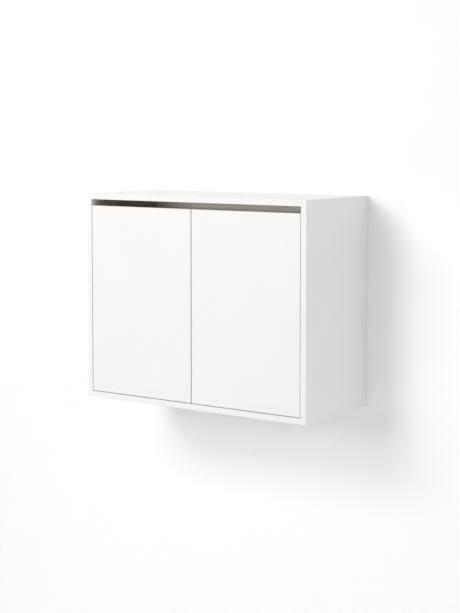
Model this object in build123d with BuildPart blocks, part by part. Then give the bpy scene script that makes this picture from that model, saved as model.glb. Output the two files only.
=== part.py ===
from build123d import *
import os
from math import atan2, degrees, hypot, sqrt

# Hanging wall cabinet, 800 x 640 x 360 mm, two inset doors on concealed cup hinges.
# Frame: +X to the right for a viewer in front of the doors, +Y into the wall, +Z up.
# Origin: on the wall plane, in the middle of the wall rail's row of screw holes.

# ---- carcass -------------------------------------------------------------
WIDTH = 800.0
HEIGHT = 640.0
DEPTH = 360.0
BOARD = 18.0            # melamine faced board
TOP_Z = 60.0            # top face above the rail's screw holes
BOT_Z = TOP_Z - HEIGHT
XO = WIDTH / 2          # outer face of a side panel
XI = XO - BOARD         # inner face of a side panel
YF = -DEPTH             # front plane, flush with the doors
ZI_TOP = TOP_Z - BOARD
ZI_BOT = BOT_Z + BOARD
EDGE_R = 1.0            # rounding of the outer edges

# ---- back panel ----------------------------------------------------------
BACK_T = 6.0
BACK_Y1 = -19.0         # rear face: 19 mm recess behind it for rail and hangers
BACK_Y0 = BACK_Y1 - BACK_T
GROOVE = 6.0

# ---- doors ---------------------------------------------------------------
FINGER_GAP = 20.0       # above the doors, over the whole width
GAP_SIDE = 2.0
GAP_BOTTOM = 2.0
GAP_CENTRE = 3.0
DOOR_T = 18.0
DX0 = -XI + GAP_SIDE                 # hinge edge of the left door
DX1 = -GAP_CENTRE / 2                # free edge of the left door
DZ0 = ZI_BOT + GAP_BOTTOM
DZ1 = ZI_TOP - FINGER_GAP
DOOR_W = DX1 - DX0
DOOR_H = DZ1 - DZ0
DOOR_ZC = (DZ0 + DZ1) / 2

# ---- 32 mm hole system ---------------------------------------------------
HINGE_Z = (DOOR_ZC - 192.0, DOOR_ZC + 192.0)
COL_Z0 = HINGE_Z[0] - 16.0           # lowest hole of the front column
COL_FRONT_Y = YF + DOOR_T + 37.0
COL_REAR_Y = COL_FRONT_Y + 256.0
SYS_R = 2.5
SYS_DEPTH = 12.0
SHELF_PIN_Z = COL_Z0 + 6 * 32.0

# ---- shelf ---------------------------------------------------------------
SHELF_W = 762.0
SHELF_Y0 = -322.0
SHELF_Y1 = -27.0
SHELF_Z0 = SHELF_PIN_Z + SYS_R
PIN_OUT = 9.0

# ---- corner fittings -----------------------------------------------------
CAM_Y = (-326.0, -70.0)
DOWEL_Y = (-294.0, -102.0)
CAM_IN = 34.0                        # cam centre from the panel's end
MID_TOP = TOP_Z - BOARD / 2
MID_BOT = BOT_Z + BOARD / 2

# ---- concealed hinge, in door coordinates --------------------------------
# u runs from the door's hinge edge towards its free edge, v from the door's
# front face inwards. The doors turn about PIVOT.
PIVOT = (14.489, 6.041)
A1 = (13.894, 14.473)                # cup pin of the outer link
AN = (18.307, 10.726)                # its crank
A0 = (39.834, 26.592)                # its arm pin
B1 = (14.484, 9.276)                 # cup pin of the inner link
BN = (27.755, 8.642)                 # its crank
B0 = (35.613, 20.881)                # its arm pin
CUP_U = 22.5
CUP_R = 17.5
CUP_CAV_R = 16.6
CUP_V0 = 6.0
CUP_FLOOR = 1.0
CUP_BORE_V = 5.5
FLANGE_T = 1.2
CUP_SCREW_U = 31.0
CUP_SCREW_Z = 24.0
LINK_W = 2.6
EYE_R = 2.05
ARM_EYE_R = 2.2
PIN_R = 1.0
LINK_HOLE_R = 1.05
B_HALF = 2.1                         # inner link: one plate in the middle
A_IN, A_OUT = 2.6, 4.4               # outer link: two plates beside it
ARM_IN, ARM_OUT = 5.2, 6.8           # the arm's channel walls
PLATE_HALF = 5.0
PLATE_V = COL_FRONT_Y - YF           # screw line of the mounting plate

# ---- wall rail and hangers -----------------------------------------------
RAIL_X = 376.0
RAIL_T = 2.0
RAIL_HOLE_R = 3.25
RAIL_HOLES = 640.0
HANG_X0, HANG_X1 = XI, XI - 40.0
HOOK_T = 3.0

os.makedirs("parts", exist_ok=True)


def finish(name, builder):
    builder.part.label = name
    export_step(builder.part, "parts/" + name + ".step")


def outer_edges(builder, x=None, y=None, z=()):
    # edges of a box that lie on its visible outer arrises
    picked = []
    for e in builder.edges():
        c = e.center()
        on_x = x is not None and abs(c.X - x) < 0.01
        on_y = y is not None and abs(c.Y - y) < 0.01
        on_z = any(abs(c.Z - k) < 0.01 for k in z)
        if (on_x and on_y) or (on_x and on_z) or (on_y and on_z):
            picked.append(e)
    return picked


# ===== carcass ============================================================
with BuildPart() as left_side_panel:
    with BuildSketch(Plane.XY.offset(BOT_Z)):
        with Locations((-XO, YF)):
            Rectangle(BOARD, DEPTH, align=(Align.MIN, Align.MIN))
    extrude(amount=HEIGHT)
    fillet(outer_edges(left_side_panel, x=-XO, y=YF, z=(TOP_Z, BOT_Z)), radius=EDGE_R)
    # stopped groove for the back panel
    with BuildSketch(Plane.XY.offset(ZI_BOT - GROOVE)):
        with Locations((-XI, BACK_Y0)):
            Rectangle(GROOVE, BACK_T, align=(Align.MAX, Align.MIN))
    extrude(amount=ZI_TOP - ZI_BOT + 2 * GROOVE, mode=Mode.SUBTRACT)
    # dowel and bolt holes at both ends, from the inner face
    with BuildSketch(Plane.YZ.offset(-XI)):
        with Locations(*[(y, z) for y in DOWEL_Y for z in (MID_TOP, MID_BOT)]):
            Circle(4.0)
    extrude(amount=-10.5, mode=Mode.SUBTRACT)
    with BuildSketch(Plane.YZ.offset(-XI)):
        with Locations(*[(y, z) for y in CAM_Y for z in (MID_TOP, MID_BOT)]):
            Circle(SYS_R)
    extrude(amount=-11.5, mode=Mode.SUBTRACT)
    # front and rear columns at 32 mm
    with BuildSketch(Plane.YZ.offset(-XI)):
        with Locations(*[(COL_FRONT_Y, COL_Z0 + 32.0 * k) for k in range(14)]):
            Circle(SYS_R)
        with Locations(*[(COL_REAR_Y, COL_Z0 + 32.0 * k) for k in range(3, 11)]):
            Circle(SYS_R)
    extrude(amount=-SYS_DEPTH, mode=Mode.SUBTRACT)
    # holes for the hanger's dowels, in the recess behind the back panel
    with BuildSketch(Plane.YZ.offset(-XI)):
        with Locations((-14.0, -8.0), (-14.0, -40.0)):
            Circle(4.0)
    extrude(amount=-12.0, mode=Mode.SUBTRACT)
finish("left_side_panel", left_side_panel)

with BuildPart() as right_side_panel:
    mirror(left_side_panel.part, about=Plane.YZ)
finish("right_side_panel", right_side_panel)

with BuildPart() as top_panel:
    with BuildSketch(Plane.XY.offset(ZI_TOP)):
        with Locations((0, YF / 2)):
            Rectangle(2 * XI, DEPTH)
    extrude(amount=BOARD)
    fillet(outer_edges(top_panel, y=YF, z=(TOP_Z,)), radius=EDGE_R)
    with BuildSketch(Plane.XY.offset(ZI_TOP)):
        with Locations((0, BACK_Y0)):
            Rectangle(2 * XI, BACK_T, align=(Align.CENTER, Align.MIN))
    extrude(amount=GROOVE, mode=Mode.SUBTRACT)
    with BuildSketch(Plane.XY.offset(ZI_TOP)):
        with Locations(*[(s * (XI - CAM_IN), y) for s in (-1, 1) for y in CAM_Y]):
            Circle(7.5)
    extrude(amount=12.8, mode=Mode.SUBTRACT)
    for s in (-1, 1):
        with BuildSketch(Plane.YZ.offset(s * XI)):
            with Locations(*[(y, MID_TOP) for y in CAM_Y]):
                Circle(4.0)
        extrude(amount=-s * CAM_IN, mode=Mode.SUBTRACT)
        with BuildSketch(Plane.YZ.offset(s * XI)):
            with Locations(*[(y, MID_TOP) for y in DOWEL_Y]):
                Circle(4.0)
        extrude(amount=-s * 22.5, mode=Mode.SUBTRACT)
finish("top_panel", top_panel)

STOP_X = 40.0
STOP_Y = YF + DOOR_T + 3.0           # front face of the stop block
with BuildPart() as bottom_panel:
    with BuildSketch(Plane.XY.offset(BOT_Z)):
        with Locations((0, YF / 2)):
            Rectangle(2 * XI, DEPTH)
    extrude(amount=BOARD)
    fillet(outer_edges(bottom_panel, y=YF, z=(BOT_Z,)), radius=EDGE_R)
    with BuildSketch(Plane.XY.offset(ZI_BOT)):
        with Locations((0, BACK_Y0)):
            Rectangle(2 * XI, BACK_T, align=(Align.CENTER, Align.MIN))
    extrude(amount=-GROOVE, mode=Mode.SUBTRACT)
    with BuildSketch(Plane.XY.offset(ZI_BOT)):
        with Locations(*[(s * (XI - CAM_IN), y) for s in (-1, 1) for y in CAM_Y]):
            Circle(7.5)
    extrude(amount=-12.8, mode=Mode.SUBTRACT)
    for s in (-1, 1):
        with BuildSketch(Plane.YZ.offset(s * XI)):
            with Locations(*[(y, MID_BOT) for y in CAM_Y]):
                Circle(4.0)
        extrude(amount=-s * CAM_IN, mode=Mode.SUBTRACT)
        with BuildSketch(Plane.YZ.offset(s * XI)):
            with Locations(*[(y, MID_BOT) for y in DOWEL_Y]):
                Circle(4.0)
        extrude(amount=-s * 22.5, mode=Mode.SUBTRACT)
    # pilot holes of the door stops
    with BuildSketch(Plane.XY.offset(ZI_BOT)):
        with Locations((-STOP_X, STOP_Y + 11.0), (STOP_X, STOP_Y + 11.0)):
            Circle(1.6)
    extrude(amount=-12.0, mode=Mode.SUBTRACT)
finish("bottom_panel", bottom_panel)

HOLE_X = XI - 20.0                   # the hanger's two adjusting screws
ADJ_Z = (-14.0, -34.0)
with BuildPart() as back_panel:
    with BuildSketch(Plane.XZ.offset(-BACK_Y1)):
        with Locations((0, (ZI_TOP + ZI_BOT) / 2)):
            Rectangle(2 * (XI + GROOVE - 0.5), ZI_TOP - ZI_BOT + 2 * (GROOVE - 0.5))
        with Locations(*[(s * HOLE_X, z) for s in (-1, 1) for z in ADJ_Z]):
            Circle(4.5, mode=Mode.SUBTRACT)
    extrude(amount=BACK_T)
finish("back_panel", back_panel)

with BuildPart() as shelf:
    with BuildSketch(Plane.XY.offset(SHELF_Z0)):
        with Locations((0, SHELF_Y0)):
            Rectangle(SHELF_W, SHELF_Y1 - SHELF_Y0, align=(Align.CENTER, Align.MIN))
    extrude(amount=BOARD)
    fillet(outer_edges(shelf, y=SHELF_Y0, z=(SHELF_Z0, SHELF_Z0 + BOARD)), radius=0.8)
finish("shelf", shelf)

with BuildPart() as shelf_pins:
    for s in (-1, 1):
        for y in (COL_FRONT_Y, COL_REAR_Y):
            with BuildSketch(Plane.XY.offset(SHELF_PIN_Z)):
                with BuildLine():
                    Polyline(
                        (s * (XI + 10.0), y), (s * (XI - PIN_OUT), y),
                        (s * (XI - PIN_OUT), y + SYS_R), (s * (XI - 0.9), y + SYS_R),
                        (s * (XI - 0.9), y + 3.6), (s * XI, y + 3.6),
                        (s * XI, y + SYS_R - 0.05), (s * (XI + 10.0), y + SYS_R - 0.05),
                        close=True,
                    )
                make_face()
            revolve(axis=Axis((0, y, SHELF_PIN_Z), (1, 0, 0)))
    # flat on the collar's upper side keeps it clear of the shelf's end
    with BuildSketch(Plane.XY.offset(SHELF_Z0)):
        Rectangle(2 * XI, DEPTH * 2)
    extrude(amount=5.0, mode=Mode.SUBTRACT)
finish("shelf_pins", shelf_pins)

with BuildPart() as dowels:
    for s in (-1, 1):
        with BuildSketch(Plane.YZ.offset(s * (XI + 10.0))):
            with Locations(*[(y, z) for y in DOWEL_Y for z in (MID_TOP, MID_BOT)]):
                Circle(3.95)
        extrude(amount=-s * 32.0)
    chamfer(dowels.edges(), length=0.8)
finish("dowels", dowels)

with BuildPart() as cam_bolts:
    for s in (-1, 1):
        for y in CAM_Y:
            for z in (MID_TOP, MID_BOT):
                cx = XI - CAM_IN
                with BuildSketch(Plane.XY.offset(z)):
                    with BuildLine():
                        Polyline(
                            (s * (XI + 11.0), y), (s * (cx - 2.0), y), (s * (cx - 2.0), y + 3.2),
                            (s * (cx + 0.6), y + 3.2), (s * (cx + 1.2), y + 1.9), (s * (cx + 4.6), y + 1.9),
                            (s * (cx + 5.4), y + 2.9), (s * (XI - 1.6), y + 2.9), (s * (XI - 1.6), y + 3.8),
                            (s * XI, y + 3.8), (s * XI, y + 2.4), (s * (XI + 10.0), y + 2.4),
                            close=True,
                        )
                    make_face()
                revolve(axis=Axis((0, y, z), (1, 0, 0)))
finish("cam_bolts", cam_bolts)

with BuildPart() as cam_locks:
    for s in (-1, 1):
        for y in CAM_Y:
            for face, d in ((ZI_TOP, 1), (ZI_BOT, -1)):
                cx = s * (XI - CAM_IN)
                mid = face + d * BOARD / 2
                with BuildSketch(Plane.XY.offset(face + d * 1.2)):
                    with Locations((cx, y)):
                        Circle(7.4)
                extrude(amount=d * 11.4)
                # slot that takes the bolt's head, open towards the panel's end
                with BuildSketch(Plane.XY.offset(mid - 3.5)):
                    with Locations((cx - s * 3.0, y)):
                        Rectangle(9.0, 7.0, align=(Align.MIN if s > 0 else Align.MAX, Align.CENTER))
                extrude(amount=7.0, mode=Mode.SUBTRACT)
                with BuildSketch(Plane.XY.offset(mid - 4.2)):
                    with Locations((cx + s * 4.9, y)):
                        Rectangle(4.0, 8.4, align=(Align.MIN if s > 0 else Align.MAX, Align.CENTER))
                extrude(amount=8.4, mode=Mode.SUBTRACT)
                # cross recess for the screwdriver
                with BuildSketch(Plane.XY.offset(face + d * 1.2)):
                    with Locations((cx, y)):
                        Rectangle(7.0, 1.4)
                        Rectangle(1.4, 7.0)
                extrude(amount=d * 2.0, mode=Mode.SUBTRACT)
finish("cam_locks", cam_locks)

with BuildPart() as cam_covers:
    for face, d in ((ZI_TOP, 1), (ZI_BOT, -1)):
        with BuildSketch(Plane.XY.offset(face)):
            with Locations(*[(s * (XI - CAM_IN), y) for s in (-1, 1) for y in CAM_Y]):
                Circle(8.6)
        extrude(amount=-d * 0.9)
        with BuildSketch(Plane.XY.offset(face)):
            with Locations(*[(s * (XI - CAM_IN), y) for s in (-1, 1) for y in CAM_Y]):
                Circle(7.45)
        extrude(amount=d * 1.0)
    rims = [e for e in cam_covers.edges().filter_by(GeomType.CIRCLE)
            if abs(abs(e.center().Z - (ZI_TOP + ZI_BOT) / 2) - ((ZI_TOP - ZI_BOT) / 2 - 0.9)) < 0.01]
    fillet(rims, radius=0.5)
finish("cam_covers", cam_covers)

# ===== doors ==============================================================
with BuildPart() as left_door:
    with BuildSketch(Plane.XY.offset(DZ0)):
        with Locations((DX0, YF)):
            Rectangle(DOOR_W, DOOR_T, align=(Align.MIN, Align.MIN))
    extrude(amount=DOOR_H)
    fillet(left_door.edges(), radius=0.9)
    # 35 mm hinge bores and the pilot holes of their screws, from the inner face
    with BuildSketch(Plane.XZ.offset(-(YF + DOOR_T))):
        with Locations(*[(DX0 + CUP_U, z) for z in HINGE_Z]):
            Circle(CUP_R + 0.05)
    extrude(amount=DOOR_T - CUP_BORE_V, mode=Mode.SUBTRACT)
    with BuildSketch(Plane.XZ.offset(-(YF + DOOR_T))):
        with Locations(*[(DX0 + CUP_SCREW_U, z + d) for z in HINGE_Z for d in (-CUP_SCREW_Z, CUP_SCREW_Z)]):
            Circle(1.5)
    extrude(amount=11.5, mode=Mode.SUBTRACT)
finish("left_door", left_door)

with BuildPart() as right_door:
    mirror(left_door.part, about=Plane.YZ)
finish("right_door", right_door)


# ===== concealed hinges ===================================================
def hinge_plane(z):
    # (u, v) plane of the left door at height z
    return Plane(origin=(DX0, YF, z), x_dir=(1, 0, 0), z_dir=(0, 0, 1))


with BuildPart() as hinge_plates_left:
    for zc in HINGE_Z:
        # wings with the screw holes
        with BuildSketch(Plane.YZ.offset(-XI)):
            with Locations((YF + PLATE_V, zc)):
                RectangleRounded(12.0, 46.0, 3.0)
            with Locations((YF + PLATE_V, zc - 16.0), (YF + PLATE_V, zc + 16.0)):
                Circle(2.6, mode=Mode.SUBTRACT)
        extrude(amount=2.0)
        # raised track that carries the arm
        with BuildSketch(Plane.YZ.offset(-XI)):
            with Locations((YF + 64.0, zc)):
                RectangleRounded(46.0, 2 * PLATE_HALF, 1.5)
        extrude(amount=9.5)
        with BuildSketch(Plane.YZ.offset(-XI + 9.5)):
            with Locations((YF + 62.0, zc), (YF + 75.0, zc)):
                Circle(2.1)
        extrude(amount=-7.0, mode=Mode.SUBTRACT)
finish("hinge_plates_left", hinge_plates_left)

with BuildPart() as hinge_plate_screws_left:
    for zc in HINGE_Z:
        for d in (-16.0, 16.0):
            z = zc + d
            y = YF + PLATE_V
            with BuildSketch(Plane.XY.offset(z)):
                with BuildLine():
                    Polyline(
                        (-XI - 11.0, y), (-XI - 10.0, y + 2.45), (-XI + 2.0, y + 2.45),
                        (-XI + 2.0, y + 4.6), (-XI + 3.3, y + 4.4), (-XI + 4.2, y + 3.0), (-XI + 4.2, y),
                        close=True,
                    )
                make_face()
            revolve(axis=Axis((0, y, z), (1, 0, 0)))
            with BuildSketch(Plane.YZ.offset(-XI + 4.2)):
                with Locations((y, z)):
                    Rectangle(4.4, 0.9, rotation=45)
                    Rectangle(0.9, 4.4, rotation=45)
            extrude(amount=-1.4, mode=Mode.SUBTRACT)
finish("hinge_plate_screws_left", hinge_plate_screws_left)

ARM_OUTLINE = [
    (2.5, 84.0), (9.8, 84.0), (9.8, 58.0), (28.0, 43.5), (39.6, 40.0), (48.4, 30.2),
    (48.6, 24.0), (44.5, 20.2), (38.4, 20.2), (36.3, 18.3), (33.6, 17.9), (31.0, 20.5),
    (27.0, 26.0), (19.0, 33.5), (9.0, 38.0), (2.5, 40.0),
]
ARM_HOLLOW = [
    (-4.0, 90.0), (8.2, 90.0), (8.2, 57.2), (27.3, 41.9), (38.8, 38.4), (46.8, 29.6),
    (47.0, 24.6), (44.0, 19.0), (44.0, 10.0), (-4.0, 10.0),
]
FIX_V = (62.0, 75.0)                 # side adjusting screw, fixing screw
with BuildPart() as hinge_arms_left:
    for zc in HINGE_Z:
        with BuildSketch(hinge_plane(zc - ARM_OUT)):
            with BuildLine():
                Polyline(*ARM_OUTLINE, close=True)
            make_face()
        extrude(amount=2 * ARM_OUT)
    # soften the pressed steel's long bends before it is hollowed
    bends = [e for e in hinge_arms_left.edges().filter_by(Axis.Z)
             if e.center().Y > YF + 23.0 and e.center().X > DX0 + 9.0 and e.center().Y < YF + 60.0
             and not (e.center().X < DX0 + 27.5 and e.center().Y < YF + 40.0)]
    fillet(bends, radius=1.2)
    for zc in HINGE_Z:
        with BuildSketch(hinge_plane(zc - ARM_IN)):
            with BuildLine():
                Polyline(*ARM_HOLLOW, close=True)
            make_face()
        extrude(amount=2 * ARM_IN, mode=Mode.SUBTRACT)
        # rivet holes of the two link pins
        with BuildSketch(hinge_plane(zc - ARM_OUT - 1.0)):
            with Locations(A0, B0):
                Circle(PIN_R)
        extrude(amount=2 * ARM_OUT + 2.0, mode=Mode.SUBTRACT)
        # holes of the side adjusting screw and the fixing screw
        with BuildSketch(Plane.YZ.offset(DX0 + 12.0)):
            with Locations(*[(YF + v, zc) for v in FIX_V]):
                Circle(2.1)
        extrude(amount=-6.0, mode=Mode.SUBTRACT)
finish("hinge_arms_left", hinge_arms_left)

with BuildPart() as hinge_arm_screws_left:
    for zc in HINGE_Z:
        for v in FIX_V:
            y = YF + v
            with BuildSketch(Plane.XY.offset(zc)):
                with BuildLine():
                    Polyline(
                        (DX0 + 1.0, y), (DX0 + 1.0, y + 2.0), (DX0 + 9.8, y + 2.0), (DX0 + 9.8, y + 3.7),
                        (DX0 + 11.2, y + 3.5), (DX0 + 11.9, y + 2.6), (DX0 + 11.9, y),
                        close=True,
                    )
                make_face()
            revolve(axis=Axis((0, y, zc), (1, 0, 0)))
            with BuildSketch(Plane.YZ.offset(DX0 + 11.9)):
                with Locations((y, zc)):
                    Rectangle(4.0, 0.8, rotation=45)
                    Rectangle(0.8, 4.0, rotation=45)
            extrude(amount=-1.2, mode=Mode.SUBTRACT)
finish("hinge_arm_screws_left", hinge_arm_screws_left)

# short rivets through the arm's walls; the links' arm ends turn between them
with BuildPart() as hinge_arm_pins_left:
    for zc in HINGE_Z:
        for d in (-1, 1):
            with BuildSketch(Plane.XY.offset(zc + d * 4.75)):
                with Locations(*[(DX0 + p[0], YF + p[1]) for p in (A0, B0)]):
                    Circle(PIN_R)
            extrude(amount=d * (ARM_OUT + 0.8 - 4.75))
            with BuildSketch(Plane.XY.offset(zc + d * ARM_OUT)):
                with Locations(*[(DX0 + p[0], YF + p[1]) for p in (A0, B0)]):
                    Circle(1.9)
            extrude(amount=d * 0.8)
finish("hinge_arm_pins_left", hinge_arm_pins_left)


def heading(p, q):
    # angle of the run from p to q in the (u, v) plane
    return degrees(atan2(q[1] - p[1], q[0] - p[0]))


# each link is a bar cranked round the rim of the cup, from its cup pin to its arm pin
with BuildPart() as hinge_outer_links_left:
    for zc in HINGE_Z:
        for z0 in (zc - A_OUT, zc + A_IN):
            with BuildSketch(Plane.XY.offset(z0)):
                for p, q in ((A1, AN), (AN, A0)):
                    with Locations((DX0 + (p[0] + q[0]) / 2, YF + (p[1] + q[1]) / 2)):
                        SlotCenterToCenter(hypot(q[0] - p[0], q[1] - p[1]), LINK_W, rotation=heading(p, q))
                with Locations((DX0 + A1[0], YF + A1[1])):
                    Circle(EYE_R)
                with Locations((DX0 + A0[0], YF + A0[1])):
                    Circle(ARM_EYE_R)
                with Locations((DX0 + A1[0], YF + A1[1])):
                    Circle(LINK_HOLE_R, mode=Mode.SUBTRACT)
            extrude(amount=A_OUT - A_IN)
        # barrel that joins the two plates at the arm end
        with BuildSketch(Plane.XY.offset(zc - A_OUT)):
            with Locations((DX0 + A0[0], YF + A0[1])):
                Circle(ARM_EYE_R)
        extrude(amount=2 * A_OUT)
finish("hinge_outer_links_left", hinge_outer_links_left)

with BuildPart() as hinge_inner_links_left:
    for zc in HINGE_Z:
        with BuildSketch(Plane.XY.offset(zc - B_HALF)):
            for p, q in ((B1, BN), (BN, B0)):
                with Locations((DX0 + (p[0] + q[0]) / 2, YF + (p[1] + q[1]) / 2)):
                    SlotCenterToCenter(hypot(q[0] - p[0], q[1] - p[1]), LINK_W, rotation=heading(p, q))
            with Locations((DX0 + B1[0], YF + B1[1])):
                Circle(EYE_R)
            with Locations((DX0 + B0[0], YF + B0[1])):
                Circle(ARM_EYE_R)
            with Locations((DX0 + B1[0], YF + B1[1])):
                Circle(LINK_HOLE_R, mode=Mode.SUBTRACT)
        extrude(amount=2 * B_HALF)
finish("hinge_inner_links_left", hinge_inner_links_left)

with BuildPart() as hinge_cups_left:
    for zc in HINGE_Z:
        # drawn cup in the 35 mm bore
        with BuildSketch(Plane.XZ.offset(-(YF + CUP_V0))):
            with Locations((DX0 + CUP_U, zc)):
                Circle(CUP_R)
        extrude(amount=-(DOOR_T - CUP_V0))
        # flange with two screw ears on the door's inner face
        with BuildSketch(Plane.XZ.offset(-(YF + DOOR_T))):
            with Locations((DX0 + CUP_U, zc)):
                Circle(18.6)
            with Locations((DX0 + CUP_SCREW_U - 1.0, zc)):
                RectangleRounded(15.0, 62.0, 5.0)
        extrude(amount=-FLANGE_T)
        with BuildSketch(Plane.XZ.offset(-(YF + CUP_V0 + CUP_FLOOR))):
            with Locations((DX0 + CUP_U, zc)):
                Circle(CUP_CAV_R)
        extrude(amount=-20.0, mode=Mode.SUBTRACT)
        with BuildSketch(Plane.XZ.offset(-(YF + DOOR_T))):
            with Locations(*[(DX0 + CUP_SCREW_U, zc + d) for d in (-CUP_SCREW_Z, CUP_SCREW_Z)]):
                Circle(2.0)
        extrude(amount=-FLANGE_T, mode=Mode.SUBTRACT)
        # pin holes in the cup's wall
        with BuildSketch(Plane.XY.offset(zc - 17.0)):
            with Locations(*[(DX0 + p[0], YF + p[1]) for p in (A1, B1)]):
                Circle(PIN_R)
        extrude(amount=34.0, mode=Mode.SUBTRACT)
finish("hinge_cups_left", hinge_cups_left)

A_CHORD = sqrt((CUP_R - 0.3) ** 2 - (CUP_U - A1[0] + PIN_R) ** 2)
B_CHORD = sqrt((CUP_R - 0.3) ** 2 - (CUP_U - B1[0] + PIN_R) ** 2)
with BuildPart() as hinge_cup_pins_left:
    for zc in HINGE_Z:
        # the outer link turns on two stubs, the inner one on a pin right across
        for d in (-1, 1):
            with BuildSketch(Plane.XY.offset(zc + d * 2.35)):
                with Locations((DX0 + A1[0], YF + A1[1])):
                    Circle(PIN_R)
            extrude(amount=d * (A_CHORD - 2.35))
        with BuildSketch(Plane.XY.offset(zc - B_CHORD)):
            with Locations((DX0 + B1[0], YF + B1[1])):
                Circle(PIN_R)
        extrude(amount=2 * B_CHORD)
finish("hinge_cup_pins_left", hinge_cup_pins_left)

with BuildPart() as hinge_cup_screws_left:
    for zc in HINGE_Z:
        for d in (-CUP_SCREW_Z, CUP_SCREW_Z):
            x = DX0 + CUP_SCREW_U
            y = YF + DOOR_T + FLANGE_T
            with BuildSketch(Plane.XY.offset(zc + d)):
                with BuildLine():
                    Polyline(
                        (x, y - 12.0), (x + 1.45, y - 10.6), (x + 1.45, y), (x + 3.6, y),
                        (x + 3.3, y + 1.2), (x + 2.0, y + 1.9), (x, y + 1.9),
                        close=True,
                    )
                make_face()
            revolve(axis=Axis((x, 0, zc + d), (0, 1, 0)))
            with BuildSketch(Plane.XZ.offset(-(y + 1.9))):
                with Locations((x, zc + d)):
                    Rectangle(3.6, 0.8, rotation=45)
                    Rectangle(0.8, 3.6, rotation=45)
            extrude(amount=1.1, mode=Mode.SUBTRACT)
finish("hinge_cup_screws_left", hinge_cup_screws_left)

# the right door's hinges mirror the left door's
with BuildPart() as hinge_plates_right:
    mirror(hinge_plates_left.part, about=Plane.YZ)
finish("hinge_plates_right", hinge_plates_right)

with BuildPart() as hinge_plate_screws_right:
    mirror(hinge_plate_screws_left.part, about=Plane.YZ)
finish("hinge_plate_screws_right", hinge_plate_screws_right)

with BuildPart() as hinge_arms_right:
    mirror(hinge_arms_left.part, about=Plane.YZ)
finish("hinge_arms_right", hinge_arms_right)

with BuildPart() as hinge_arm_screws_right:
    mirror(hinge_arm_screws_left.part, about=Plane.YZ)
finish("hinge_arm_screws_right", hinge_arm_screws_right)

with BuildPart() as hinge_arm_pins_right:
    mirror(hinge_arm_pins_left.part, about=Plane.YZ)
finish("hinge_arm_pins_right", hinge_arm_pins_right)

with BuildPart() as hinge_outer_links_right:
    mirror(hinge_outer_links_left.part, about=Plane.YZ)
finish("hinge_outer_links_right", hinge_outer_links_right)

with BuildPart() as hinge_inner_links_right:
    mirror(hinge_inner_links_left.part, about=Plane.YZ)
finish("hinge_inner_links_right", hinge_inner_links_right)

with BuildPart() as hinge_cups_right:
    mirror(hinge_cups_left.part, about=Plane.YZ)
finish("hinge_cups_right", hinge_cups_right)

with BuildPart() as hinge_cup_pins_right:
    mirror(hinge_cup_pins_left.part, about=Plane.YZ)
finish("hinge_cup_pins_right", hinge_cup_pins_right)

with BuildPart() as hinge_cup_screws_right:
    mirror(hinge_cup_screws_left.part, about=Plane.YZ)
finish("hinge_cup_screws_right", hinge_cup_screws_right)

# ===== door stops =========================================================
STOP_H = 14.0
PAD_R = 5.0
with BuildPart() as door_stops:
    for x in (-STOP_X, STOP_X):
        with BuildSketch(Plane.XY.offset(ZI_BOT)):
            with Locations((x, STOP_Y)):
                RectangleRounded(16.0, 20.0, 2.0, align=(Align.CENTER, Align.MIN))
        extrude(amount=STOP_H)
    fillet(door_stops.faces().sort_by(Axis.Z)[-2:].edges(), radius=1.0)
    for x in (-STOP_X, STOP_X):
        # counterbored screw hole, and the recess that holds the pad
        with BuildSketch(Plane.XY.offset(ZI_BOT)):
            with Locations((x, STOP_Y + 11.0)):
                Circle(2.0)
        extrude(amount=STOP_H, mode=Mode.SUBTRACT)
        with BuildSketch(Plane.XY.offset(ZI_BOT + 5.0)):
            with Locations((x, STOP_Y + 11.0)):
                Circle(4.2)
        extrude(amount=STOP_H, mode=Mode.SUBTRACT)
        with BuildSketch(Plane.XZ.offset(-STOP_Y)):
            with Locations((x, ZI_BOT + 7.0)):
                Circle(PAD_R + 0.05)
        extrude(amount=-1.5, mode=Mode.SUBTRACT)
finish("door_stops", door_stops)

with BuildPart() as door_stop_pads:
    for x in (-STOP_X, STOP_X):
        with BuildSketch(Plane.XZ.offset(-(STOP_Y + 1.5))):
            with Locations((x, ZI_BOT + 7.0)):
                Circle(PAD_R)
        extrude(amount=4.5)
    fillet(door_stop_pads.faces().sort_by(Axis.Y)[:2].edges(), radius=1.2)
finish("door_stop_pads", door_stop_pads)

with BuildPart() as door_stop_screws:
    for x in (-STOP_X, STOP_X):
        y = STOP_Y + 11.0
        with BuildSketch(Plane.XZ.offset(-y)):
            with BuildLine():
                Polyline(
                    (x, ZI_BOT - 11.0), (x + 1.55, ZI_BOT - 9.4), (x + 1.55, ZI_BOT + 5.0),
                    (x + 3.6, ZI_BOT + 5.0), (x + 3.6, ZI_BOT + 6.4), (x + 2.2, ZI_BOT + 7.4), (x, ZI_BOT + 7.4),
                    close=True,
                )
            make_face()
        revolve(axis=Axis((x, y, 0), (0, 0, 1)))
        with BuildSketch(Plane.XY.offset(ZI_BOT + 7.4)):
            with Locations((x, y)):
                Rectangle(3.8, 0.8)
                Rectangle(0.8, 3.8)
        extrude(amount=-1.2, mode=Mode.SUBTRACT)
finish("door_stop_screws", door_stop_screws)

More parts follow.
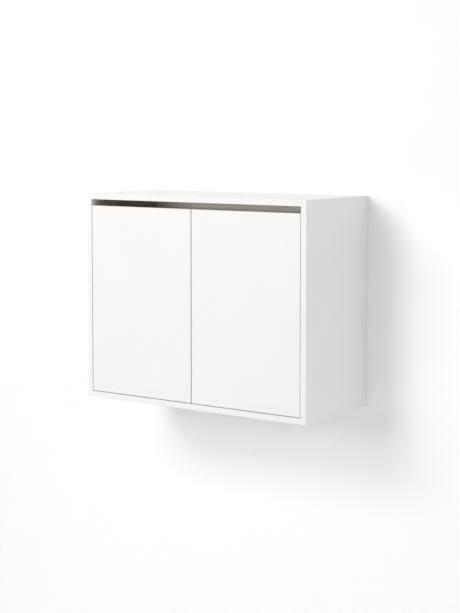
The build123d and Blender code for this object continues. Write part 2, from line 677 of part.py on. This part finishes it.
# ===== wall rail and hangers ==============================================
RAIL_PROFILE = [
    (0.0, -15.0), (0.0, 15.0), (-8.0, 15.0), (-8.0, 27.0), (-10.0, 27.0), (-10.0, 13.0),
    (-2.0, 13.0), (-2.0, -15.0),
]
with BuildPart() as wall_rail:
    with BuildSketch(Plane.YZ.offset(-RAIL_X)):
        with BuildLine():
            Polyline(*RAIL_PROFILE, close=True)
        make_face()
    extrude(amount=2 * RAIL_X)
    with BuildSketch(Plane.XZ):
        with Locations((-RAIL_HOLES / 2, 0), (RAIL_HOLES / 2, 0), (-RAIL_HOLES / 5, 0), (RAIL_HOLES / 5, 0)):
            Circle(RAIL_HOLE_R)
    extrude(amount=RAIL_T, mode=Mode.SUBTRACT)
finish("wall_rail", wall_rail)

HANG_Z0, HANG_Z1 = -56.0, 8.0
with BuildPart() as hanger_housing_left:
    # pressed housing in the recess, pegged to the side panel
    with BuildSketch(Plane.XY.offset(HANG_Z0)):
        with Locations((-XI, -18.6)):
            Rectangle(38.0, 8.2, align=(Align.MIN, Align.MIN))
    extrude(amount=HANG_Z1 - HANG_Z0)
    fillet(hanger_housing_left.edges().filter_by(Axis.Z).group_by(Axis.X)[-1], radius=1.5)
    # channel in which the hook rises and falls
    with BuildSketch(Plane.XY.offset(HANG_Z0 + 4.0)):
        with Locations((-(XI - 20.0), -15.6)):
            Rectangle(16.4, 3.2, align=(Align.CENTER, Align.MIN))
    extrude(amount=HANG_Z1 - HANG_Z0, mode=Mode.SUBTRACT)
    # bores of the two adjusting screws
    with BuildSketch(Plane.XZ.offset(18.6)):
        with Locations(*[(-HOLE_X, z) for z in ADJ_Z]):
            Circle(3.6)
    extrude(amount=-3.0, mode=Mode.SUBTRACT)
    # dowel sockets towards the side panel
    with BuildSketch(Plane.YZ.offset(-XI)):
        with Locations((-14.0, -8.0), (-14.0, -40.0)):
            Circle(3.0)
    extrude(amount=6.0, mode=Mode.SUBTRACT)
finish("hanger_housing_left", hanger_housing_left)

with BuildPart() as hanger_hook_left:
    # flat hook: up from the housing, back over the rail's lip, down behind it
    with BuildSketch(Plane.YZ.offset(-(XI - 20.0) - 8.0)):
        with BuildLine():
            Polyline(
                (-15.5, -44.0), (-12.5, -44.0), (-12.5, 27.0), (-7.0, 27.0), (-7.0, 18.0),
                (-4.0, 18.0), (-4.0, 30.0), (-15.5, 30.0),
                close=True,
            )
        make_face()
    extrude(amount=16.0)
    bend = [e for e in hanger_hook_left.edges().filter_by(Axis.X) if abs(e.center().Z - 30.0) < 0.01]
    fillet(bend, radius=1.8)
finish("hanger_hook_left", hanger_hook_left)

with BuildPart() as hanger_housing_right:
    mirror(hanger_housing_left.part, about=Plane.YZ)
finish("hanger_housing_right", hanger_housing_right)

with BuildPart() as hanger_hook_right:
    mirror(hanger_hook_left.part, about=Plane.YZ)
finish("hanger_hook_right", hanger_hook_right)

with BuildPart() as hanger_adjusting_screws:
    for s in (-1, 1):
        for z in ADJ_Z:
            x = s * HOLE_X
            with BuildSketch(Plane.XZ.offset(20.4)):
                with Locations((x, z)):
                    Circle(3.5)
            extrude(amount=-4.8)
            with BuildSketch(Plane.XZ.offset(20.4)):
                with Locations((x, z)):
                    Rectangle(4.6, 0.9, rotation=45)
                    Rectangle(0.9, 4.6, rotation=45)
            extrude(amount=-1.5, mode=Mode.SUBTRACT)
finish("hanger_adjusting_screws", hanger_adjusting_screws)

with BuildPart() as hanger_dowels:
    for s in (-1, 1):
        for z in (-8.0, -40.0):
            with BuildSketch(Plane.YZ.offset(s * (XI + 11.5))):
                with Locations((-14.0, z)):
                    Circle(3.9)
            extrude(amount=-s * 11.5)
            with BuildSketch(Plane.YZ.offset(s * XI)):
                with Locations((-14.0, z)):
                    Circle(2.9)
            extrude(amount=-s * 5.5)
finish("hanger_dowels", hanger_dowels)

with BuildPart() as hanger_covers:
    for s in (-1, 1):
        with BuildSketch(Plane.XZ.offset(-BACK_Y0)):
            with Locations((s * HOLE_X, (ADJ_Z[0] + ADJ_Z[1]) / 2)):
                SlotCenterToCenter(ADJ_Z[0] - ADJ_Z[1], 15.0, rotation=90)
        extrude(amount=1.6)
    fillet(hanger_covers.faces().sort_by(Axis.Y)[:2].edges(), radius=0.8)
    with BuildSketch(Plane.XZ.offset(-BACK_Y0)):
        with Locations(*[(s * HOLE_X, z) for s in (-1, 1) for z in ADJ_Z]):
            Circle(4.4)
    extrude(amount=-4.0)
finish("hanger_covers", hanger_covers)
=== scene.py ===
import bpy
import math
from mathutils import Vector, Matrix


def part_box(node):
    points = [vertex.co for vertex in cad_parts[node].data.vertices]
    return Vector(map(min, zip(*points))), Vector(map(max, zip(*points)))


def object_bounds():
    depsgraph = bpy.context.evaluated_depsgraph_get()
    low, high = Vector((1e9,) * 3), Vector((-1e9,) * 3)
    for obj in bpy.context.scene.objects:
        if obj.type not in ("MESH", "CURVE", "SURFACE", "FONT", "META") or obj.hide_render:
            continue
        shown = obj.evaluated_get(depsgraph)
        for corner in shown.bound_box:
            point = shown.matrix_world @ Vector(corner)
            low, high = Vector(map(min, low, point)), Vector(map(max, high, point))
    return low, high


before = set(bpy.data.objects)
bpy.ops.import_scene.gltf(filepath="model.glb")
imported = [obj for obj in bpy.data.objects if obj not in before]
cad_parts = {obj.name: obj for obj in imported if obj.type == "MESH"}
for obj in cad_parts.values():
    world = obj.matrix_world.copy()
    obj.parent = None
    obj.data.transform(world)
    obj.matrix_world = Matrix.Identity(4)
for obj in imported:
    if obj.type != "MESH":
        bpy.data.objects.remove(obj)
cad_lo, cad_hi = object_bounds()

scene = bpy.context.scene

# --------------------------------------------------------------------------
# node helpers
# --------------------------------------------------------------------------


class Mat:
    """A procedural material built from small node steps, in the object's own coordinates (metres)."""

    def __init__(self, name):
        self.m = bpy.data.materials.new(name)
        self.m.use_nodes = True
        self.nt = self.m.node_tree
        self.nt.nodes.clear()
        self.out = self.nt.nodes.new("ShaderNodeOutputMaterial")
        self.bsdf = self.nt.nodes.new("ShaderNodeBsdfPrincipled")
        self.nt.links.new(self.bsdf.outputs[0], self.out.inputs[0])
        self.tc = self.nt.nodes.new("ShaderNodeTexCoord")
        self.P = self.tc.outputs["Object"]
        self._xyz = None
        self._nrm = None

    def new(self, kind):
        return self.nt.nodes.new(kind)

    def link(self, a, b):
        self.nt.links.new(a, b)

    def _in(self, sock, v):
        if isinstance(v, bpy.types.NodeSocket):
            self.link(v, sock)
        elif v is not None:
            sock.default_value = v

    def xyz(self):
        if self._xyz is None:
            s = self.new("ShaderNodeSeparateXYZ")
            self.link(self.P, s.inputs[0])
            self._xyz = s.outputs
        return self._xyz

    def normal(self):
        if self._nrm is None:
            s = self.new("ShaderNodeSeparateXYZ")
            self.link(self.tc.outputs["Normal"], s.inputs[0])
            self._nrm = s.outputs
        return self._nrm

    def math(self, op, a, b=None, c=None, clamp=False):
        n = self.new("ShaderNodeMath")
        n.operation = op
        n.use_clamp = clamp
        self._in(n.inputs[0], a)
        if b is not None:
            self._in(n.inputs[1], b)
        if c is not None:
            self._in(n.inputs[2], c)
        return n.outputs[0]

    def smooth(self, v, lo, hi, out_lo=0.0, out_hi=1.0):
        n = self.new("ShaderNodeMapRange")
        n.interpolation_type = "SMOOTHSTEP"
        self._in(n.inputs["Value"], v)
        n.inputs["From Min"].default_value = lo
        n.inputs["From Max"].default_value = hi
        n.inputs["To Min"].default_value = out_lo
        n.inputs["To Max"].default_value = out_hi
        return n.outputs[0]

    def ramp(self, v, lo, hi, out_lo=0.0, out_hi=1.0):
        n = self.new("ShaderNodeMapRange")
        self._in(n.inputs["Value"], v)
        n.inputs["From Min"].default_value = lo
        n.inputs["From Max"].default_value = hi
        n.inputs["To Min"].default_value = out_lo
        n.inputs["To Max"].default_value = out_hi
        return n.outputs[0]

    def scaled(self, s, p=None, rot=(0, 0, 0), loc=(0, 0, 0)):
        n = self.new("ShaderNodeMapping")
        self.link(p or self.P, n.inputs["Vector"])
        n.inputs["Scale"].default_value = s
        n.inputs["Rotation"].default_value = rot
        n.inputs["Location"].default_value = loc
        return n.outputs[0]

    def noise(self, scale, detail=2.0, rough=0.5, p=None, out="Fac", distortion=0.0):
        n = self.new("ShaderNodeTexNoise")
        self.link(p or self.P, n.inputs["Vector"])
        n.inputs["Scale"].default_value = scale
        n.inputs["Detail"].default_value = detail
        n.inputs["Roughness"].default_value = rough
        n.inputs["Distortion"].default_value = distortion
        return n.outputs[out]

    def voronoi(self, scale, p=None, out="Distance", feature="F1", rand=1.0):
        n = self.new("ShaderNodeTexVoronoi")
        n.feature = feature
        self.link(p or self.P, n.inputs["Vector"])
        n.inputs["Scale"].default_value = scale
        n.inputs["Randomness"].default_value = rand
        return n.outputs[out]

    def wave(self, scale, p=None, direction="X", distortion=2.0, detail=2.0, dscale=1.0):
        n = self.new("ShaderNodeTexWave")
        n.wave_type = "BANDS"
        n.bands_direction = direction
        self.link(p or self.P, n.inputs["Vector"])
        n.inputs["Scale"].default_value = scale
        n.inputs["Distortion"].default_value = distortion
        n.inputs["Detail"].default_value = detail
        n.inputs["Detail Scale"].default_value = dscale
        return n.outputs["Fac"]

    def mix(self, fac, a, b):
        n = self.new("ShaderNodeMix")
        n.data_type = "RGBA"
        self._in(n.inputs[0], fac)
        for sock, v in ((n.inputs[6], a), (n.inputs[7], b)):
            if isinstance(v, bpy.types.NodeSocket):
                self.link(v, sock)
            else:
                sock.default_value = (*v, 1.0)
        return n.outputs[2]

    def bump(self, height, strength=0.3, distance=0.0002, normal=None):
        n = self.new("ShaderNodeBump")
        n.inputs["Strength"].default_value = strength
        n.inputs["Distance"].default_value = distance
        self.link(height, n.inputs["Height"])
        if normal is not None:
            self.link(normal, n.inputs["Normal"])
        return n.outputs[0]

    def set(self, **kw):
        for k, v in kw.items():
            sock = self.bsdf.inputs[k.replace("_", " ")]
            self._in(sock, v)
        return self


def lin(r, g, b):
    """sRGB 0-255 to linear."""
    out = []
    for c in (r, g, b):
        c = c / 255.0
        out.append(c / 12.92 if c <= 0.04045 else ((c + 0.055) / 1.055) ** 2.4)
    return tuple(out)


WHITE = (0.806, 0.800, 0.787)
WHITE_LO = (0.796, 0.790, 0.776)
INNER_SHADE_CAST = (0.865, 0.800, 0.718)          # the faces inside the carcass: a warm cast painted on the white for the brownish tone of their shade
INNER_SHADE_CAST_LO = (0.850, 0.784, 0.700)
BAND = lin(236, 235, 231)
CHIP_A = lin(196, 166, 122)
CHIP_B = lin(150, 118, 78)
CHIP_C = lin(222, 198, 158)
HDF_A = lin(142, 104, 70)
HDF_B = lin(110, 78, 52)


def use(node, mat):
    """Gives a carried-over CAD node one of the materials below."""
    o = bpy.data.objects[node]
    if not o.material_slots:
        o.data.materials.append(mat)
    for s in o.material_slots:
        s.material = mat


def particle_board(m):
    """Chips and fibres of raw particle board: colour and height, for the unfaced surfaces."""
    big = m.voronoi(420.0, p=m.scaled((1.0, 1.0, 2.2)), out="Color")
    sep = m.new("ShaderNodeSeparateColor")
    m.link(big, sep.inputs[0])
    chips = m.mix(m.smooth(sep.outputs[0], 0.15, 0.85), CHIP_A, CHIP_B)
    chips = m.mix(m.smooth(sep.outputs[1], 0.72, 0.95, 0.0, 0.75), chips, CHIP_C)
    fibre = m.noise(1600.0, 4.0, 0.65, p=m.scaled((1.0, 0.35, 1.0)))
    chips = m.mix(m.smooth(fibre, 0.35, 0.75, 0.0, 0.55), chips, CHIP_B)
    cracks = m.voronoi(420.0, p=m.scaled((1.0, 1.0, 2.2)), out="Distance", feature="DISTANCE_TO_EDGE")
    height = m.math("ADD", m.smooth(cracks, 0.0, 0.12, 0.0, 0.7), m.math("MULTIPLY", fibre, 0.6))
    return chips, height


def faced_board(name, node, banded, raw_back=True, tone=1.0, seam=0.001, inner=None, warm_shade_cast=False):
    """White faced board. Inside the board's own body (bores, grooves) and on an
    unbanded edge the particle core shows; a banded edge has a hairline glue joint
    1 mm behind the face it wraps."""
    m = Mat(name)
    lo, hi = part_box(node)
    lo, hi = Vector(lo), Vector(hi)
    x, y, z = m.xyz()[0], m.xyz()[1], m.xyz()[2]
    axes = (x, y, z)

    # how deep under the board's skin a point lies (0 on the outer faces)
    depth = None
    for i in range(3):
        a = m.math("SUBTRACT", axes[i], float(lo[i]))
        b = m.math("SUBTRACT", float(hi[i]), axes[i])
        d = m.math("MINIMUM", a, b)
        depth = d if depth is None else m.math("MINIMUM", depth, d)
    inside = m.smooth(depth, 0.0016, 0.0019)

    chips, chip_h = particle_board(m)

    raw = inside
    if raw_back:
        ny = m.normal()[1]
        back = m.math("MULTIPLY", m.math("GREATER_THAN", ny, 0.7), m.math("GREATER_THAN", y, float(hi[1]) - 0.0003))
        # the facing foil, 0.3 mm, frames the raw edge
        foil = None
        thin = min(range(3), key=lambda i: hi[i] - lo[i])
        a = m.math("SUBTRACT", axes[thin], float(lo[thin]))
        b = m.math("SUBTRACT", float(hi[thin]), axes[thin])
        foil = m.math("GREATER_THAN", m.math("MINIMUM", a, b), 0.00035)
        raw = m.math("MAXIMUM", raw, m.math("MULTIPLY", back, foil))

    # the facing itself: a very even white with slow, slight variation
    slow = m.noise(5.0, 2.0, 0.5)
    white = m.mix(m.smooth(slow, 0.3, 0.7), tuple(c * tone for c in WHITE), tuple(c * tone for c in WHITE_LO))
    # painted shade cast: the whole board takes the warm tint of the shaded inside
    if warm_shade_cast:
        white = m.mix(m.smooth(slow, 0.3, 0.7), INNER_SHADE_CAST, INNER_SHADE_CAST_LO)
    # painted shade cast: the inner face takes the warm tint from 16-18 mm behind the board's front on, where it lies
    # in the cabinet's shade
    if inner is not None:
        axis, side = inner
        near = float(lo[axis]) + 0.0004 if side < 0 else float(hi[axis]) - 0.0004
        warm_shade_cast = m.mix(m.smooth(slow, 0.3, 0.7), INNER_SHADE_CAST, INNER_SHADE_CAST_LO)
        facing = m.math("LESS_THAN", axes[axis], near) if side < 0 else m.math("GREATER_THAN", axes[axis], near)
        behind = m.smooth(y, float(lo[1]) + 0.016, float(lo[1]) + 0.018)
        white = m.mix(m.math("MULTIPLY", facing, behind), white, warm_shade_cast)
    specks = m.noise(2600.0, 2.0, 0.6)
    white = m.mix(m.smooth(specks, 0.60, 0.80, 0.0, 0.05), white, lin(205, 204, 199))

    # hairline joints between the facing and the edge bands
    seam_mask = None
    for i, side in banded:
        d = m.math("SUBTRACT", axes[i], float(lo[i]) + seam) if side < 0 else m.math("SUBTRACT", float(hi[i]) - seam, axes[i])
        line = m.smooth(m.math("ABSOLUTE", d), 0.00006, 0.00016, 1.0, 0.0)
        seam_mask = line if seam_mask is None else m.math("MAXIMUM", seam_mask, line)
    if seam_mask is not None:
        broken = m.noise(120.0, 3.0, 0.6)
        white = m.mix(m.math("MULTIPLY", seam_mask, m.smooth(broken, 0.3, 0.7, 0.25, 0.6)), white, lin(176, 170, 158))

    colour = m.mix(raw, white, chips)

    # satin: fine pearl grain plus a long soft wave, and slight rub marks
    pearl = m.voronoi(1500.0, feature="SMOOTH_F1")
    grain = m.noise(3200.0, 3.0, 0.6)
    wave = m.noise(38.0, 2.0, 0.5)
    skin_h = m.math("ADD", m.math("MULTIPLY", pearl, 0.6), m.math("MULTIPLY", grain, 0.5))
    skin_h = m.math("ADD", skin_h, m.math("MULTIPLY", wave, 1.2))
    if seam_mask is not None:
        skin_h = m.math("SUBTRACT", skin_h, m.math("MULTIPLY", seam_mask, 0.9))
    h = m.new("ShaderNodeMix")
    h.data_type = "FLOAT"
    m.link(raw, h.inputs[0])
    m.link(skin_h, h.inputs[2])
    m.link(m.math("MULTIPLY", chip_h, 3.0), h.inputs[3])
    normal = m.bump(h.outputs[0], 0.35, 0.00006)
    rub = m.noise(22.0, 4.0, 0.6, p=m.scaled((1.0, 1.0, 3.0)))
    rough = m.math("ADD", m.smooth(rub, 0.3, 0.75, 0.40, 0.50), m.math("MULTIPLY", raw, 0.42))
    m.set(Base_Color=colour, Roughness=rough, Normal=normal)
    m.bsdf.inputs["Specular IOR Level"].default_value = 0.45
    return m.m


def hdf(name, node):
    m = Mat(name)
    lo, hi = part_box(node)
    y = m.xyz()[1]
    ny = m.normal()[1]
    fibres = m.noise(900.0, 5.0, 0.7, p=m.scaled((1.0, 1.0, 0.45)))
    fibres2 = m.noise(260.0, 3.0, 0.6)
    brown = m.mix(m.smooth(fibres, 0.3, 0.72), HDF_A, HDF_B)
    brown = m.mix(m.smooth(fibres2, 0.35, 0.7, 0.0, 0.35), brown, lin(160, 122, 86))
    slow = m.noise(6.0, 2.0, 0.5)
    # the back panel's front face is white with the painted warm shade cast of the cabinet's inside
    white = m.mix(m.smooth(slow, 0.3, 0.7), INNER_SHADE_CAST, INNER_SHADE_CAST_LO)
    specks = m.noise(2400.0, 2.0, 0.6)
    white = m.mix(m.smooth(specks, 0.6, 0.8, 0.0, 0.06), white, lin(200, 198, 192))
    front = m.math("MULTIPLY", m.math("LESS_THAN", ny, -0.7), m.math("LESS_THAN", y, float(lo[1]) + 0.0003))
    colour = m.mix(front, brown, white)
    mesh = m.wave(300.0, p=m.P, direction="X", distortion=0.4, detail=1.0)
    mesh2 = m.wave(300.0, p=m.P, direction="Z", distortion=0.4, detail=1.0)
    screen = m.math("MULTIPLY", mesh, mesh2)
    grain = m.noise(2600.0, 3.0, 0.6)
    hb = m.math("ADD", m.math("MULTIPLY", screen, 2.0), m.math("MULTIPLY", fibres, 2.0))
    h = m.new("ShaderNodeMix")
    h.data_type = "FLOAT"
    m.link(front, h.inputs[0])
    m.link(hb, h.inputs[2])
    m.link(grain, h.inputs[3])
    m.set(Base_Color=colour, Normal=m.bump(h.outputs[0], 0.4, 0.00008),
          Roughness=m.math("SUBTRACT", 0.82, m.math("MULTIPLY", front, 0.36)))
    return m.m


def metal(name, colour, dark, rough=(0.22, 0.34), brush=None, bump=0.15, spangle=0.0, fine=2400.0):
    """Plated or cast metal: base tint with mottling, drawn lines or cast grain."""
    m = Mat(name)
    mott = m.noise(90.0, 3.0, 0.6)
    c = m.mix(m.smooth(mott, 0.35, 0.7), colour, dark)
    if spangle:
        sp = m.voronoi(260.0, out="Color")
        s = m.new("ShaderNodeSeparateColor")
        m.link(sp, s.inputs[0])
        c = m.mix(m.smooth(s.outputs[0], 0.1, 0.9, 0.0, spangle), c, tuple(k * 0.78 for k in colour))
    if brush:
        lines = m.noise(1.0, 3.0, 0.55, p=m.scaled(brush))
    else:
        lines = m.noise(fine, 3.0, 0.6)
    c = m.mix(m.smooth(lines, 0.35, 0.8, 0.0, 0.25), c, dark)
    r = m.math("ADD", m.smooth(lines, 0.25, 0.75, rough[0], rough[1]), m.smooth(mott, 0.4, 0.8, 0.0, 0.05))
    m.set(Base_Color=c, Roughness=r, Normal=m.bump(lines, bump, 0.00005))
    m.bsdf.inputs["Metallic"].default_value = 1.0
    return m.m


def plastic(name, colour, shade, rough=(0.38, 0.48), grain=1800.0, bump=0.3, sss=0.0):
    m = Mat(name)
    slow = m.noise(60.0, 2.0, 0.5)
    c = m.mix(m.smooth(slow, 0.3, 0.7), colour, shade)
    spark = m.voronoi(grain, feature="SMOOTH_F1")
    c = m.mix(m.smooth(spark, 0.2, 0.8, 0.0, 0.08), c, shade)
    m.set(Base_Color=c, Roughness=m.smooth(spark, 0.1, 0.7, rough[0], rough[1]), Normal=m.bump(spark, bump, 0.00005))
    if sss:
        m.bsdf.inputs["Subsurface Weight"].default_value = sss
        m.bsdf.inputs["Subsurface Scale"].default_value = 0.002
    return m.m


def wood(name):
    m = Mat(name)
    p = m.scaled((0.12, 1.0, 1.0))
    rings = m.wave(260.0, p=p, direction="Z", distortion=3.0, detail=2.0)
    flecks = m.noise(2200.0, 3.0, 0.6, p=m.scaled((0.06, 1.0, 1.0)))
    c = m.mix(rings, lin(214, 176, 128), lin(194, 150, 102))
    c = m.mix(m.smooth(flecks, 0.5, 0.75, 0.0, 0.6), c, lin(164, 118, 76))
    m.set(Base_Color=c, Roughness=m.smooth(flecks, 0.3, 0.7, 0.5, 0.68), Normal=m.bump(flecks, 0.3, 0.00008))
    return m.m


# --------------------------------------------------------------------------
# materials on the carried-over pieces
# --------------------------------------------------------------------------
# inner= names the face that gets the painted warm shade cast behind the doors
use("left_side_panel", faced_board("board_left_side", "left_side_panel", [(1, -1), (2, -1), (2, 1)], inner=(0, 1)))
use("right_side_panel", faced_board("board_right_side", "right_side_panel", [(1, -1), (2, -1), (2, 1)], inner=(0, -1)))
use("top_panel", faced_board("board_top", "top_panel", [(1, -1)], inner=(2, -1)))
use("bottom_panel", faced_board("board_bottom", "bottom_panel", [(1, -1)], inner=(2, 1)))
# the shelf carries the painted warm shade cast on all its faces
use("shelf", faced_board("board_shelf", "shelf", [(1, -1)], warm_shade_cast=True))
for door in ("left_door", "right_door"):
    use(door, faced_board("board_" + door, door, [(0, -1), (0, 1), (2, -1), (2, 1)], raw_back=False))
use("back_panel", hdf("fibreboard_back", "back_panel"))

use("dowels", wood("beech"))
nickel = metal("nickel_plate", (0.66, 0.63, 0.58), (0.46, 0.43, 0.39), (0.16, 0.28), brush=(160.0, 2400.0, 2400.0))
nickel_cup = metal("nickel_cup", (0.68, 0.65, 0.60), (0.48, 0.45, 0.41), (0.14, 0.26))
nickel_link = metal("nickel_links", (0.60, 0.58, 0.54), (0.40, 0.38, 0.35), (0.20, 0.32), brush=(900.0, 900.0, 3200.0))
zinc = metal("die_cast_zinc", (0.52, 0.53, 0.54), (0.36, 0.37, 0.38), (0.34, 0.46), bump=0.35, fine=1500.0)
zinc_plate = metal("zinc_plated_screws", (0.62, 0.64, 0.66), (0.42, 0.43, 0.44), (0.20, 0.32), fine=3000.0)
galvanised = metal("galvanised_rail", (0.58, 0.60, 0.62), (0.44, 0.46, 0.48), (0.30, 0.42), brush=(60.0, 1800.0, 1800.0), spangle=0.6)
pressed = metal("pressed_steel_hanger", (0.56, 0.58, 0.60), (0.40, 0.41, 0.42), (0.26, 0.38), brush=(1800.0, 1800.0, 80.0))
rivet = metal("rivet_steel", (0.46, 0.46, 0.46), (0.30, 0.30, 0.30), (0.24, 0.36), fine=4200.0)
for side in ("left", "right"):
    use("hinge_plates_" + side, zinc)
    use("hinge_plate_screws_" + side, zinc_plate)
    use("hinge_arms_" + side, nickel)
    use("hinge_arm_screws_" + side, zinc_plate)
    use("hinge_arm_pins_" + side, rivet)
    use("hinge_outer_links_" + side, nickel_link)
    use("hinge_inner_links_" + side, nickel_link)
    use("hinge_cups_" + side, nickel_cup)
    use("hinge_cup_pins_" + side, rivet)
    use("hinge_cup_screws_" + side, zinc_plate)
    use("hanger_housing_" + side, pressed)
    use("hanger_hook_" + side, galvanised)
use("wall_rail", galvanised)
use("shelf_pins", zinc_plate)
use("cam_bolts", zinc_plate)
use("cam_locks", zinc)
use("door_stop_screws", zinc_plate)
use("hanger_adjusting_screws", zinc_plate)
white_plastic = plastic("white_polymer", lin(236, 235, 230), lin(226, 225, 219))
use("cam_covers", white_plastic)
use("hanger_covers", white_plastic)
use("door_stops", white_plastic)
use("hanger_dowels", plastic("grey_nylon", lin(206, 205, 198), lin(190, 189, 182), (0.42, 0.54)))
use("door_stop_pads", plastic("soft_pad", lin(196, 194, 186), lin(178, 176, 168), (0.5, 0.62), 2600.0, 0.2, 0.3))

# --------------------------------------------------------------------------
# studio: wall behind the cabinet, pale floor well below it
# --------------------------------------------------------------------------
FLOOR_Z = -1.55


def plane(name, verts):
    me = bpy.data.meshes.new(name)
    me.from_pydata(verts, [], [tuple(range(len(verts)))])
    me.update()
    o = bpy.data.objects.new(name, me)
    scene.collection.objects.link(o)
    return o


wall = plane("studio_wall", [(-9, 0, FLOOR_Z), (9, 0, FLOOR_Z), (9, 0, 5), (-9, 0, 5)])
floor = plane("studio_floor", [(-9, -9, FLOOR_Z), (9, -9, FLOOR_Z), (9, 9, FLOOR_Z), (-9, 9, FLOOR_Z)])

wm = Mat("studio_wall_paint")
wn = wm.noise(240.0, 3.0, 0.6)
wm.set(Base_Color=wm.mix(wm.smooth(wn, 0.3, 0.7), (0.948, 0.948, 0.948), (0.938, 0.938, 0.938)), Normal=wm.bump(wn, 0.05, 0.0003))
wm.bsdf.inputs["Roughness"].default_value = 0.9
wm.bsdf.inputs["Specular IOR Level"].default_value = 0.1
# the wall is seen from its room side only, so that the cabinet's back can be looked at
geo = wm.new("ShaderNodeNewGeometry")
clear = wm.new("ShaderNodeBsdfTransparent")
both = wm.new("ShaderNodeMixShader")
wm.link(geo.outputs["Backfacing"], both.inputs[0])
wm.link(wm.bsdf.outputs[0], both.inputs[1])
wm.link(clear.outputs[0], both.inputs[2])
wm.link(both.outputs[0], wm.out.inputs[0])
wall.data.materials.append(wm.m)
wall.visible_shadow = False

fm = Mat("studio_floor_paint")
fn = fm.noise(120.0, 3.0, 0.6)
fm.set(Base_Color=fm.mix(fm.smooth(fn, 0.3, 0.7), (0.80, 0.80, 0.79), (0.785, 0.785, 0.775)), Normal=fm.bump(fn, 0.05, 0.0003))
fm.bsdf.inputs["Roughness"].default_value = 0.8
fm.bsdf.inputs["Specular IOR Level"].default_value = 0.15
floor.data.materials.append(fm.m)

# --------------------------------------------------------------------------
# light
# --------------------------------------------------------------------------
world = bpy.data.worlds.new("studio")
scene.world = world
world.use_nodes = True
wnt = world.node_tree
bg = wnt.nodes["Background"]
wtc = wnt.nodes.new("ShaderNodeTexCoord")
wsep = wnt.nodes.new("ShaderNodeSeparateXYZ")
wmap = wnt.nodes.new("ShaderNodeMapRange")
wmap.interpolation_type = "SMOOTHSTEP"
wmap.inputs["From Min"].default_value = -0.1
wmap.inputs["From Max"].default_value = 0.9
wmap.inputs["To Min"].default_value = 0.089
wmap.inputs["To Max"].default_value = 0.673
wnt.links.new(wtc.outputs["Generated"], wsep.inputs[0])
wnt.links.new(wsep.outputs[2], wmap.inputs["Value"])
wnt.links.new(wmap.outputs[0], bg.inputs[1])
bg.inputs[0].default_value = (1.0, 1.0, 1.0, 1.0)
# past the floor's edge, and in reflections, the studio is pale grey; it gives no light of its own
seen = wnt.nodes.new("ShaderNodeBackground")
seen.inputs[0].default_value = (0.62, 0.62, 0.62, 1.0)
path = wnt.nodes.new("ShaderNodeLightPath")
which = wnt.nodes.new("ShaderNodeMixShader")
either = wnt.nodes.new("ShaderNodeMath")
either.operation = "MAXIMUM"
wnt.links.new(path.outputs["Is Camera Ray"], either.inputs[0])
wnt.links.new(path.outputs["Is Glossy Ray"], either.inputs[1])
wnt.links.new(either.outputs[0], which.inputs[0])
wnt.links.new(bg.outputs[0], which.inputs[1])
wnt.links.new(seen.outputs[0], which.inputs[2])
wnt.links.new(which.outputs[0], wnt.nodes["World Output"].inputs[0])

centre = (Vector(cad_lo) + Vector(cad_hi)) / 2


def area(name, loc, target, size, power, size_y=None, colour=(1, 1, 1)):
    d = bpy.data.lights.new(name, "AREA")
    d.energy = power
    d.color = colour
    d.size = size
    if size_y:
        d.shape = "RECTANGLE"
        d.size_y = size_y
    o = bpy.data.objects.new(name, d)
    o.location = loc
    o.rotation_mode = "QUATERNION"
    o.rotation_quaternion = (Vector(target) - Vector(loc)).to_track_quat("-Z", "Y")
    scene.collection.objects.link(o)
    return o


def around(target, azimuth, elevation, distance):
    """A point seen from the target at this azimuth (0 is straight in front, minus is left) and elevation."""
    az, el = math.radians(azimuth), math.radians(elevation)
    return target + distance * Vector((math.sin(az) * math.cos(el), -math.cos(az) * math.cos(el), math.sin(el)))


# three soft keys from the left make the one soft shadow, a fill from the right
# lights the side, and one behind lights the back
area("key_low", around(centre, -12.0, 12.0, 4.0), centre, 1.1, 36.2)
area("key_high", around(centre, -12.0, 30.0, 4.0), centre, 1.1, 28.2)
area("key_left", around(centre, -28.0, 28.0, 4.0), centre, 1.1, 29.3)
area("side_fill", Vector((3.6, -2.4, 0.6)), centre, 2.4, 29.0)
area("back_fill", Vector((0.0, 3.2, 0.5)), centre, 0.7, 55.0)

# a low wide strip reaches in through the finger gap; it lights the back panel only
slit = Vector((0.0, -0.18, 0.02))
strip = area("strip", around(slit, -17.0, 3.4, 4.2), slit, 2.2, 50.0, size_y=0.2)
reached = bpy.data.collections.new("lit_by_strip")
reached.objects.link(bpy.data.objects["back_panel"])
strip.light_linking.receiver_collection = reached

# --------------------------------------------------------------------------
# camera
# --------------------------------------------------------------------------
YAW, PITCH = math.radians(34.28), math.radians(4.164)
cam_data = bpy.data.cameras.new("camera")
cam = bpy.data.objects.new("camera", cam_data)
scene.collection.objects.link(cam)
cam_data.sensor_width = 36.0
cam_data.lens = 82.523
cam_data.shift_y = -0.12
cam_data.dof.use_dof = False
cam_data.clip_start, cam_data.clip_end = 0.05, 60.0
cam.location = (2.4398, -3.7332, 0.2547)
forward = Vector((-math.sin(YAW) * math.cos(PITCH), math.cos(YAW) * math.cos(PITCH), -math.sin(PITCH)))
cam.rotation_mode = "QUATERNION"
cam.rotation_quaternion = forward.to_track_quat("-Z", "Y")
scene.camera = cam

scene.view_settings.view_transform = "Standard"
scene.view_settings.look = "None"
scene.view_settings.exposure = 0.0
scene.view_settings.gamma = 1.0
